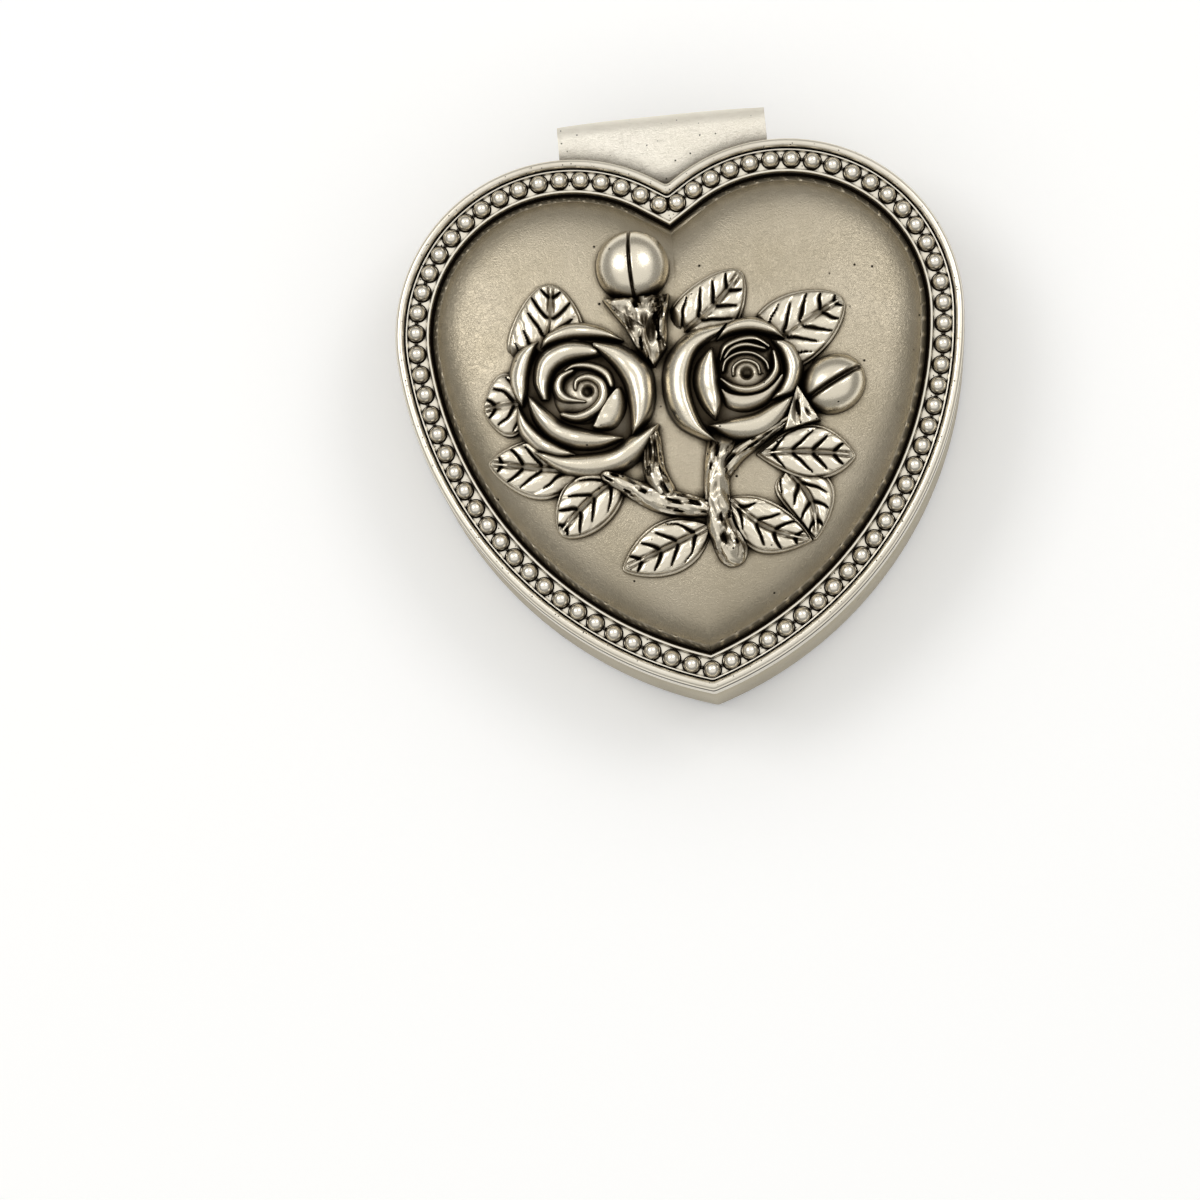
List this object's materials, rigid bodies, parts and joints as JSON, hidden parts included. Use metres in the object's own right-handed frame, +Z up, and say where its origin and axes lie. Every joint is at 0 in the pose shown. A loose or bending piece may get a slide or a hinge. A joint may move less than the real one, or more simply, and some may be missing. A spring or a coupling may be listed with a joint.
{
  "type": "keepsake box",
  "caption": "Heart-shaped cast metal keepsake box with a hinged domed lid, a bead border and applied roses, buds and leaves, lined with velvet.",
  "frame": {"origin": "on the resting face, midway between the tops of the lobes and the tip of the heart", "axes": "+Z up, +Y towards the notch and the hinge, -Y towards the tip of the heart, +X to the right seen from above with the tip nearest"},
  "size_m": [0.08, 0.0827, 0.0293],
  "materials": {
    "satin_metal": "satin white metal with a thin warm patina",
    "frame_metal": "polished on the high places, dark patina in the recesses",
    "dome_metal": "fine satin with a light patina",
    "relief_metal": "cast relief, bright high places over a dark patina",
    "pin_metal": "drawn steel wire",
    "velvet": "short velvet pile",
    "felt": "pressed felt"
  },
  "bodies": {
    "base": {"base_shell": "satin_metal", "base_felt": "felt", "floor_lining": "velvet", "wall_lining": "velvet", "base_hinge_leaf": "satin_metal", "hinge_pin": "pin_metal"},
    "lid": {"lid_frame": "frame_metal", "bead_border": "frame_metal", "lid_dome": "dome_metal", "lid_lining": "velvet", "hinge_cover": "satin_metal", "rose_left": "relief_metal", "rose_right": "relief_metal", "rosebud_top": "relief_metal", "calyx_top": "relief_metal", "rosebud_side": "relief_metal", "calyx_side": "relief_metal", "branch": "relief_metal", "leaf_top_left": "relief_metal", "leaf_left": "relief_metal", "leaf_lower_left": "relief_metal", "leaf_inner_left": "relief_metal", "leaf_bottom_left": "relief_metal", "leaf_bottom_right": "relief_metal", "leaf_right": "relief_metal", "leaf_inner_right": "relief_metal", "leaf_top_right": "relief_metal", "leaf_top_center": "relief_metal"}
  },
  "joints": [
    {"name": "lid_hinge", "type": "hinge", "parent": "base", "child": "lid", "pos_m": [0, 0.0415, 0.0154], "axis": [-1, 0, 0], "range_deg": [0, 100]}
  ]
}
